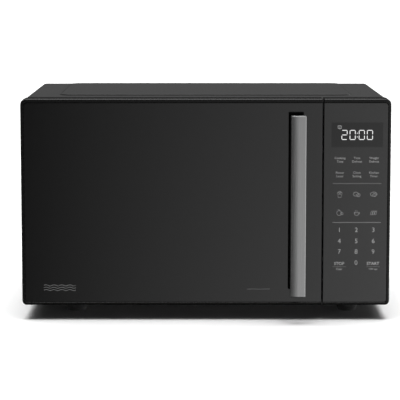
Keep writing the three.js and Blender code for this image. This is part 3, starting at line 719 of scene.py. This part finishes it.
def raised_panel(bm):
    """Adds the raised panel of the cabinet's top and gives its outermost loop."""
    rise = CABINET_Z[1] - CABINET_TOP
    rings = []
    for outward, height in EMBOSS_STEPS:
        x_span = (EMBOSS_X[0] - outward, EMBOSS_X[1] + outward)
        y_span = (EMBOSS_Y[0] - outward, EMBOSS_Y[1] + outward)
        outline = rounded_outline(x_span, y_span, [14 + outward] * 4, 8)
        rings.append(add_loop(bm, [(x, y, CABINET_TOP + rise * height) for x, y in outline]))
    for first, second in zip(rings, rings[1:]):
        bridge(bm, first, second)
    bm.faces.new(rings[-1])
    return rings[0]


def vent_column(u_span, bottom, number, pitch):
    """Outlines of a column of slots, from the lowest up."""
    return [
        slot_outline(u_span, (bottom + pitch * k, bottom + pitch * k + VENT)) for k in range(number)
    ]


def outer_cabinet():
    """The painted wrap: two sides with vents, and a top with a raised panel."""
    front, back = CABINET_Y
    levels = [(front, 0.0), (back - 1.2, 0.0), (back - 0.35, 0.35), (back, 1.2), (back, FLANGE)]
    bm = bmesh.new()
    rows = [add_loop(bm, [(x, y, z) for x, z in wrap_profile(inset)]) for y, inset in levels]
    near, far = rows[0], rows[1]
    count = len(near)
    left_wall, top, right_wall = 3, count // 2 - 1, count - 5  # edges of the section with openings
    for first, second in zip(rows, rows[1:]):
        for i in range(count - 1):
            if first is not near or i not in (left_wall, top, right_wall):
                bm.faces.new((first[i], first[i + 1], second[i + 1], second[i]))
    fill_between(bm, [near[top], near[top + 1], far[top + 1], far[top]], raised_panel(bm))
    for edge, columns in ((left_wall, LEFT_VENTS), (right_wall, RIGHT_VENTS)):
        x = near[edge].co.x / MM
        vents = []
        for y_span, bottom, number in columns:
            for slot in vent_column(y_span, BASE + bottom, number, 12):
                vents.append(add_loop(bm, [(x, y, z) for y, z in slot]))
        fill_between(bm, [near[edge], near[edge + 1], far[edge + 1], far[edge]], *vents)
    make_piece("cabinet_wrap", bm, "paint", "cabinet", "outer_cabinet", angle=40, sheet=0.9)


def rear_panel():
    """The flat back with its vents and cord hole, and a pressed rib round its middle."""
    depth = span("rear_panel", Y)
    outline = rounded_outline(span("rear_panel", X), span("rear_panel", Z), [8.5] * 4)
    holes_and_their_shade = []
    for x_span, bottom, number in REAR_VENTS:
        holes_and_their_shade += vent_column(x_span, BASE + bottom, number, 11)
    holes_and_their_shade.append([(200 + 9 * math.cos(a), BASE + 60 + 9 * math.sin(a)) for a in circle(32)])
    bm = bmesh.new()
    plate(bm, outline, holes_and_their_shade, depth)
    make_piece("back_panel", bm, "zinc", "cabinet", "rear_panel")
    loops = []
    for inset, out in ((0, -0.05), (1.5, 0.2), (3.5, 0.6), (5, 0.7), (6.5, 0.6), (8.5, 0.2), (10, -0.05)):
        x_span = (-120 + inset, 112 - inset)
        z_span = (BASE + 48 + inset, BASE + 130 - inset)
        ring = rounded_outline(x_span, z_span, [14 - inset] * 4, 8)
        loops.append([(x, depth[1] + out, z) for x, z in ring])
    loft_piece("back_panel_rib", loops, "zinc", "cabinet", ring=True)


def screw(name, x, z, face):
    """A pan-head screw with a cross recess, its head standing out from a face towards +Y."""
    bm = bmesh.new()
    rings = [
        add_loop(bm, [(x + r * math.cos(a), face + out, z + r * math.sin(a)) for a in circle(24, 0.5)])
        for r, out in ((3.9, 0), (3.9, 0.5), (3.6, 1.2), (2.9, 1.7), (2.3, 1.9))
    ]
    for first, second in zip(rings, rings[1:]):
        bridge(bm, first, second)
    arm, half = 1.7, 0.42  # length and half width of the recess's arms
    cross = []
    for turn in range(4):
        c, s = math.cos(QUARTER * turn), math.sin(QUARTER * turn)
        for along, aside in ((arm, -half), (arm, half), (half, half)):
            cross.append((along * c - aside * s, along * s + aside * c))
    upper = add_loop(bm, [(x + u, face + 1.9, z + v) for u, v in cross])
    lower = add_loop(bm, [(x + 0.7 * u, face + 0.7, z + 0.7 * v) for u, v in cross])
    fill_between(bm, rings[-1], upper)
    bridge(bm, upper, lower)
    bm.faces.new(lower)
    bm.faces.new(rings[0])
    make_piece(name, bm, "zinc", "cabinet")


def rear_spacer(node):
    """A plastic bumper that narrows towards the wall behind the oven."""
    x0, x1 = span(node, X)
    y0, y1 = span(node, Y)
    z0, z1 = span(node, Z)
    loops = []
    for y, inset, radius in (
        (y0, 0, 4), (y0 + 2.5, 0, 4), (y0 + 3.2, 1.0, 3.4),
        (y1 - 1.2, 2.0, 3), (y1 - 0.3, 2.3, 2.6), (y1, 3.0, 2),
    ):
        outline = rounded_outline((x0 + inset, x1 - inset), (z0 + inset, z1 - inset), [radius] * 4)
        loops.append([(x, y, z) for x, z in outline])
    loft_piece(node + "_bumper", loops, "plastic", "cabinet", node)


def foot(node):
    """A round rubber foot with a hole in its underside and a groove round its side."""
    low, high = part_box(node)
    centre = (low + high) / 2 / MM
    top = high.z / MM
    radius = (high.x - low.x) / 2 / MM
    profile = [
        (2.6, 3.0), (2.6, 0.6), (3.4, 0), (radius - 2.8, 0), (radius - 2.0, 0.35), (radius - 1.6, 1.2),
        (radius - 0.5, 4.2), (radius - 0.35, 4.6), (radius - 0.9, 5.0), (radius - 0.35, 5.4),
        (radius - 0.1, top - 1.2), (radius - 0.6, top - 0.2), (radius - 1.4, top),
    ]
    loops = [
        [(centre.x + r * math.cos(a), centre.y + r * math.sin(a), z) for a in circle(40)]
        for r, z in profile
    ]
    loft_piece(node + "_pad", loops, "rubber", "cabinet", node)


# ---------- marks on the glass

def stroke(bm, points, width, closed=False, front=MARK_Y):
    """A flat ribbon along (x, height) points, just in front of the glass, as a thin closed solid."""
    back = front + SKIN * 0.6
    points = [(x, z + BASE) for x, z in points]
    count = len(points)
    pairs = []
    for i, (x, z) in enumerate(points):
        before = points[(i - 1) % count] if closed or i > 0 else points[i]
        after = points[(i + 1) % count] if closed or i < count - 1 else points[i]
        along = Vector((after[0] - before[0], after[1] - before[1])).normalized()
        normal = Vector((-along.y, along.x)) * width / 2
        pairs.append(((x + normal.x, z + normal.y), (x - normal.x, z - normal.y)))
    sections = []
    for (xa, za), (xb, zb) in pairs:
        corners = [(xa, front, za), (xb, front, zb), (xb, back, zb), (xa, back, za)]
        sections.append(add_loop(bm, corners))
    for first, second in zip(sections, sections[1:]):
        bridge(bm, first, second)
    if closed:
        bridge(bm, sections[-1], sections[0])
    else:
        bm.faces.new(list(reversed(sections[0])))
        bm.faces.new(sections[-1])


def arc_points(centre, radius, start, end, steps, squash=1.0):
    """Points along an arc between two angles in degrees, flattened by squash."""
    points = []
    for i in range(steps + 1):
        a = math.radians(start + (end - start) * i / steps)
        points.append((centre[0] + radius * math.cos(a), centre[1] + squash * radius * math.sin(a)))
    return points


def lettering(bm, text, centre, height, bold=0.0):
    """Adds a short text to a mesh. height is that of a capital, and bold thickens its strokes."""
    curve = bpy.data.curves.new("lettering", "FONT")
    curve.body = text
    curve.align_x = "CENTER"
    curve.align_y = "CENTER"
    curve.size = height / 0.69 * MM
    curve.extrude = SKIN * 0.3 * MM
    curve.offset = bold * MM
    curve.resolution_u = 4
    holder = add_object("lettering", curve)
    bpy.context.view_layer.update()
    mesh = bpy.data.meshes.new_from_object(holder.evaluated_get(bpy.context.evaluated_depsgraph_get()))
    place = Matrix.Translation(Vector((centre[0], GLASS_Y[0] - SKIN * 0.7, BASE + centre[1])) * MM)
    mesh.transform(place @ Matrix.Rotation(QUARTER, 4, "X"))
    bm.from_mesh(mesh)
    bpy.data.objects.remove(holder)
    bpy.data.curves.remove(curve)
    bpy.data.meshes.remove(mesh)


COLUMNS = (175.0, 197.2, 219.4)  # middles of the keypad's three columns
DIVIDER = (165.8, 229.1)


def keypad_digits():
    """The numbers 1 to 9 in three rows, and 0 under them."""
    bm = bmesh.new()
    for row, z in (("123", 108.8), ("456", 94.1), ("789", 80.0)):
        for digit, x in zip(row, COLUMNS):
            lettering(bm, digit, (x, z), 5.9)
    lettering(bm, "0", (COLUMNS[1], 65.3), 5.9)
    make_piece("keypad_digits", bm, "print", "cabinet")


def keypad_words():
    """Plain legends on the function keys, and the larger ones on the two bottom keys."""
    bm = bmesh.new()
    rows = (
        (203.5, ("Cooking", "Time", "Weight")), (198.9, ("Time", "Defrost", "Defrost")),
        (184.3, ("Power", "Clock", "Kitchen")), (179.7, ("Level", "Setting", "Timer")),
    )
    for z, words in rows:
        for word, x in zip(words, COLUMNS):
            lettering(bm, word, (x, z), 2.9)
    for word, x in (("Clear", COLUMNS[0]), ("+30 sec", COLUMNS[2])):
        lettering(bm, word, (x, 57.0), 2.6)
    make_piece("keypad_words", bm, "print", "cabinet")
    bm = bmesh.new()
    lettering(bm, "STOP", (COLUMNS[0], 64.3), 3.9, bold=0.12)
    lettering(bm, "START", (COLUMNS[2], 64.3), 3.9, bold=0.12)
    make_piece("keypad_stop_start", bm, "print", "cabinet")


def keypad_lines():
    """The lines between groups of keys, and those under the two bottom keys' legends."""
    bm = bmesh.new()
    stroke(bm, [(x, 170.2) for x in DIVIDER], 1.3)
    make_piece("keypad_divider_upper", bm, "print_faint", "cabinet")
    bm = bmesh.new()
    stroke(bm, [(x, 118.9) for x in DIVIDER], 1.1)
    for x in (COLUMNS[0], COLUMNS[2]):
        stroke(bm, [(x - 9, 60.2), (x + 9, 60.2)], 0.45)
    make_piece("keypad_divider_lower", bm, "print_dim", "cabinet")


def keypad_icons():
    """Six plain line drawings of food in two rows of three."""
    bm = bmesh.new()
    line = 0.42
    x1, x2, x3 = COLUMNS
    high, low = 155.9, 131.6
    # Popcorn in a tapered tub.
    stroke(bm, [(x1 - 2.6, high), (x1 - 1.7, high - 4), (x1 + 1.7, high - 4), (x1 + 2.6, high)], line, True)
    for dx, dz in ((-1.8, 1.2), (0, 2.6), (1.8, 1.2)):
        stroke(bm, arc_points((x1 + dx, high + dz), 1.5, -20, 200, 10), line)
    # Two potatoes.
    stroke(bm, arc_points((x2 - 1.2, high + 0.3), 3.4, 0, 345, 23, 0.78), line, True)
    stroke(bm, arc_points((x2 + 2.2, high - 0.9), 2.2, 0, 337.5, 15), line, True)
    for dx, dz in ((-2.4, 0.9), (-0.8, -0.7), (2.2, -0.8)):
        stroke(bm, [(x2 + dx - 0.4, high + dz), (x2 + dx + 0.4, high + dz)], line)
    # Loaf with its cut end.
    stroke(bm, arc_points((x3, high + 0.2), 4.3, 0, 345, 23, 0.66), line, True)
    stroke(bm, arc_points((x3 + 0.9, high - 0.9), 2.4, 0, 337.5, 15, 0.85), line, True)
    stroke(bm, [(x3 - 0.4, high - 0.9), (x3 + 2.2, high - 0.9)], line)
    # Apple with a leaf and a plum.
    stroke(bm, arc_points((x1 - 0.6, low - 0.3), 3.1, 0, 345, 23), line, True)
    stroke(bm, arc_points((x1 + 3.0, low - 1.0), 1.6, 0, 330, 11), line, True)
    stroke(bm, [(x1 - 0.6, low + 2.8), (x1 - 1.0, low + 4.2), (x1 - 2.4, low + 4.0)], line)
    # Cup with two ears and steam.
    stroke(bm, arc_points((x2, low - 0.4), 3.0, 170, 370, 16), line, True)
    for side in (-1, 1):
        stroke(bm, arc_points((x2 + side * 3.2, low - 0.2), 0.9, -90 * side, 90 * side, 8), line)
        stroke(bm, [(x2 + side - 0.3 * k, low + 1.4 + k) for k in range(3)], line)
    # Three leaning slices.
    for shift in (-3.0, -0.4, 2.2):
        x = x3 + shift
        corners = [(x - 1.4, low - 2.6), (x + 0.6, low + 2.6), (x + 2.2, low + 2.6), (x + 0.8, low - 2.6)]
        stroke(bm, corners, line, True)
    make_piece("keypad_icons", bm, "print", "cabinet")


SEGMENTS = {"0": "abcdef", "2": "abged"}  # bars of a digit: clockwise from the top, the middle one last
DIGIT_BOTTOM = BASE + 227.4
DIGIT_HEIGHT = 12.9
DIGIT_WIDTH = 7.8
DIGIT_BAR = 0.9
DIGIT_LEFTS = (176.6, 187.2, 199.1, 209.7)
COLON_X = (196.6, 197.6)


def lit_shape(bm, outline):
    """A thin closed solid from an (x, z) outline, over the display's window."""
    loft(bm, [[(x, y, z) for x, z in outline] for y in (RAISED_Y, RAISED_Y + SKIN * 0.6)])


def seven_segment(bm, digit, left):
    """Draws one digit from mitred bars that stand a little apart."""
    gap = 0.75
    right, bottom, top = left + DIGIT_WIDTH, DIGIT_BOTTOM, DIGIT_BOTTOM + DIGIT_HEIGHT
    middle = bottom + DIGIT_HEIGHT / 2
    half = DIGIT_BAR / 2
    bars = {
        "a": ((left, top - half), (right, top - half)),
        "b": ((right - half, middle), (right - half, top)),
        "c": ((right - half, bottom), (right - half, middle)),
        "d": ((left, bottom + half), (right, bottom + half)),
        "e": ((left + half, bottom), (left + half, middle)),
        "f": ((left + half, middle), (left + half, top)),
        "g": ((left, middle), (right, middle)),
    }
    shift = half + gap
    for name in SEGMENTS[digit]:
        (xa, za), (xb, zb) = bars[name]
        if za == zb:
            outline = [(xa + gap, za), (xa + shift, za - half), (xb - shift, za - half), (xb - gap, za),
                       (xb - shift, za + half), (xa + shift, za + half)]
        else:
            outline = [(xa, za + gap), (xa + half, za + shift), (xa + half, zb - shift), (xa, zb - gap),
                       (xa - half, zb - shift), (xa - half, za + shift)]
        lit_shape(bm, outline)


def display():
    """The dark window in the panel, the lit time on it, and a small symbol."""
    outline = rounded_outline(span("display_module", X), span("display_module", Z), [0.8] * 4, 3)
    depths = (GLASS_Y[0] - SKIN * 0.9, GLASS_Y[0] - SKIN * 0.2)
    loops = [[(x, y, z) for x, z in outline] for y in depths]
    loft_piece("display_window", loops, "window", "cabinet", "display_module")
    bm = bmesh.new()
    for digit, left in zip("2000", DIGIT_LEFTS):
        seven_segment(bm, digit, left)
    x0, x1 = COLON_X
    for z in (DIGIT_BOTTOM + 0.3 * DIGIT_HEIGHT, DIGIT_BOTTOM + 0.68 * DIGIT_HEIGHT):
        lit_shape(bm, [(x0, z - 0.5), (x1, z - 0.5), (x1, z + 0.5), (x0, z + 0.5)])
    make_piece("display_digits", bm, "digits", "cabinet")
    bm = bmesh.new()
    stroke(bm, rounded_outline((172.0, 176.4), (241.9, 246.1), [0.8] * 4, 2), 0.6, True, RAISED_Y)
    for z in (243.1, 244.9):
        stroke(bm, [(172.9, z), (175.5, z)], 0.6, False, RAISED_Y)
    make_piece("display_symbol", bm, "print", "cabinet")


def door_marks():
    """Plain wave lines low on the left of the door, and a thin bar near its middle."""
    bm = bmesh.new()
    for level in range(3):
        middle = 29.2 + 3.1 * level
        wave = [(-212.5 + 0.8 * i, middle + 0.8 * math.sin(i * 2 * math.pi / 13)) for i in range(53)]
        stroke(bm, wave, 0.7)
    make_piece("door_wave_mark", bm, "print_dim", "door")
    bm = bmesh.new()
    stroke(bm, [(54, 30.5), (84, 30.5)], 0.9)
    make_piece("door_bar_mark", bm, "print_faint", "door")


# ---------- CAD nodes that stay

KEPT = {
    # The base plate takes the darkened zinc: painted shade under the body.
    "underside_shade_zinc": ["base_plate"],
    "zinc": [
        "turntable_motor", "waveguide", "magnetron_frame", "magnetron_filter_box", "transformer_core",
        "fan_motor", "door_inner_frame", "hinge_pin_lower", "hinge_pin_upper", "hinge_bracket_lower",
        "hinge_bracket_upper",
    ],
    "plastic": [
        "cord_gland", "fan_shroud", "air_duct", "door_switch_primary", "door_switch_monitor",
        "door_switch_secondary", "choke_cover",
    ],
    "enamel": ["cavity_front_plate", "oven_cavity"],
    "mica": ["waveguide_cover"],
    "white": [
        "turntable_coupler", "roller_ring", "roller_wheel_1", "roller_wheel_2", "roller_wheel_3",
        "lamp_holder", "fan_impeller", "interlock_bracket", "switch_plunger_primary",
        "switch_plunger_monitor", "switch_plunger_secondary", "door_latch",
    ],
    "clear": ["cavity_lamp", "turntable_glass", "door_inner_window"],
    "aluminium": ["magnetron_anode", "high_voltage_capacitor"],
    "copper": ["primary_winding", "secondary_winding"],
    "board": ["noise_filter_board", "control_board"],
    "screen": ["door_screen"],
}
NO_BEVEL = ("door_screen", "fan_impeller")


def dress_cad_nodes():
    """Gives each kept node its material, smooth shading and narrow bevels."""
    for look, names in KEPT.items():
        for name in names:
            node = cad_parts[name]
            node.data.materials.clear()
            node.data.materials.append(LOOKS[look])
            with bpy.context.temp_override(object=node, active_object=node, selected_objects=[node]):
                bpy.ops.mesh.customdata_custom_splitnormals_clear()
            node.data.shade_smooth()
            weld = node.modifiers.new("weld", "WELD")
            weld.merge_threshold = 1e-6
            if name not in NO_BEVEL:
                bevel = node.modifiers.new("edges", "BEVEL")
                bevel.width = 0.22 * MM
                bevel.segments = 2
                bevel.limit_method = "ANGLE"
                bevel.angle_limit = math.radians(38)
                bevel.harden_normals = True


# ---------- stage, light and camera

# Brightness of the studio as it is mirrored: across the front and beside it from left to right, and behind.
GRADIENT = (0.02, 1.29)
SIDES = (0.3, 1.6)
BACK_LEVEL = 0.05
# Light that falls on matt surfaces from low down, and what everything gets from above.
HORIZON = 0.03
SKY_LEVEL = 1.0


def stage():
    """A wide pale floor that the glass does not mirror."""
    floor_mesh = bpy.data.meshes.new("floor")
    floor_mesh.from_pydata([(-12, -12, 0), (12, -12, 0), (12, 20, 0), (-12, 20, 0)], [], [(0, 1, 2, 3)])
    floor = add_object("floor", floor_mesh)
    material, tree, shader = new_material("pale_floor", gray(0.86), 0.6, Specular_IOR_Level=0.0)
    color = blend_colors(tree, noise(tree, 0.002), gray(0.84), gray(0.87))
    tree.links.new(color, shader.inputs["Base Color"])
    floor_mesh.materials.append(material)
    floor.visible_glossy = False


def world_light():
    """A studio dark to the left of the camera, bright to its right, dim behind and soft above."""
    world = bpy.data.worlds.new("studio")
    world.use_nodes = True
    tree = world.node_tree
    background = tree.nodes["Background"]
    place = tree.nodes.new("ShaderNodeTexCoord")
    split = tree.nodes.new("ShaderNodeSeparateXYZ")
    tree.links.new(place.outputs["Generated"], split.inputs["Vector"])

    def mix(factor, first, second):
        """first where factor is 0, second where it is 1."""
        rest = calculate(tree, "SUBTRACT", 1.0, factor)
        part = calculate(tree, "MULTIPLY", rest, first)
        return calculate(tree, "ADD", part, calculate(tree, "MULTIPLY", factor, second))

    across, depth, height = split.outputs["X"], split.outputs["Y"], split.outputs["Z"]
    gradient = remap(tree, across, (-0.13, 0.13), GRADIENT)
    front = calculate(tree, "MULTIPLY", gradient, remap(tree, height, (-0.2, 0.0), (1.18, 0.8)))
    level = mix(remap(tree, depth, (-0.35, 0.35), (0.0, 1.0)), front, BACK_LEVEL)
    aside = remap(tree, calculate(tree, "ABSOLUTE", across), (0.3, 0.6), (0.0, 1.0))
    level = mix(aside, level, remap(tree, across, (-0.6, 0.6), SIDES))
    level = calculate(tree, "MULTIPLY", level, remap(tree, height, (-0.6, -0.25), (0.15, 1.0)))
    ray = tree.nodes.new("ShaderNodeLightPath")
    level = mix(ray.outputs["Is Diffuse Ray"], level, HORIZON)
    level = mix(remap(tree, height, (0.6, 0.9), (0.0, 1.0)), level, SKY_LEVEL)
    seen = calculate(tree, "MAXIMUM", level, calculate(tree, "MULTIPLY", ray.outputs["Is Camera Ray"], 1.2))
    tree.links.new(seen, background.inputs["Color"])
    bpy.context.scene.world = world


def light():
    """One large soft light far overhead, leaning a little towards the front."""
    data = bpy.data.lights.new("overhead", "SUN")
    data.energy = 4.1
    data.angle = math.radians(50)
    lamp = add_object("overhead", data)
    lamp.rotation_euler = (math.radians(-1), 0, 0)
    lamp.location = (0, -0.5, 3)


def camera():
    """A long lens a little above the oven's top, looking slightly down at it."""
    pitch, yaw = math.radians(7.184), math.radians(-0.0245)
    data = bpy.data.cameras.new("camera")
    data.sensor_width = 36.0
    data.lens = 168.93
    data.clip_end = 60
    view = add_object("camera", data)
    view.location = (-0.0086, GLASS_Y[0] * MM - 2.434, (BASE + 455.3) * MM)
    view.rotation_euler = (QUARTER - pitch, 0, yaw)
    bpy.context.scene.camera = view
    bpy.context.scene.view_settings.view_transform = "Standard"


# ---------- build

camera()
stage()
world_light()
light()
dress_cad_nodes()
door_surround()
front_frame("control_panel_surround", PANEL_X, -1, "cabinet", "control_panel_housing")
glass_slab("door_mirror_glass", DOOR_GLASS_X, 1, "door_glass", "door", "door_glass")
glass_slab("control_panel_mirror_glass", PANEL_GLASS_X, -1, "panel_glass", "cabinet", "control_panel_glass")
handle_trim()
handle_back()
latch_coil()
outer_cabinet()
rear_panel()
for number, (x, z) in enumerate(((-236, 240), (-236, 60), (236, 240), (236, 60)), 1):
    screw(f"cabinet_screw_{number}", x, BASE + z, CABINET_Y[1])
for spacer in ("rear_spacer_left", "rear_spacer_right"):
    rear_spacer(spacer)
for corner in ("front_left", "front_right", "rear_left", "rear_right"):
    foot(f"foot_{corner}")
display()
keypad_digits()
keypad_words()
keypad_lines()
keypad_icons()
door_marks()

bpy.context.view_layer.update()
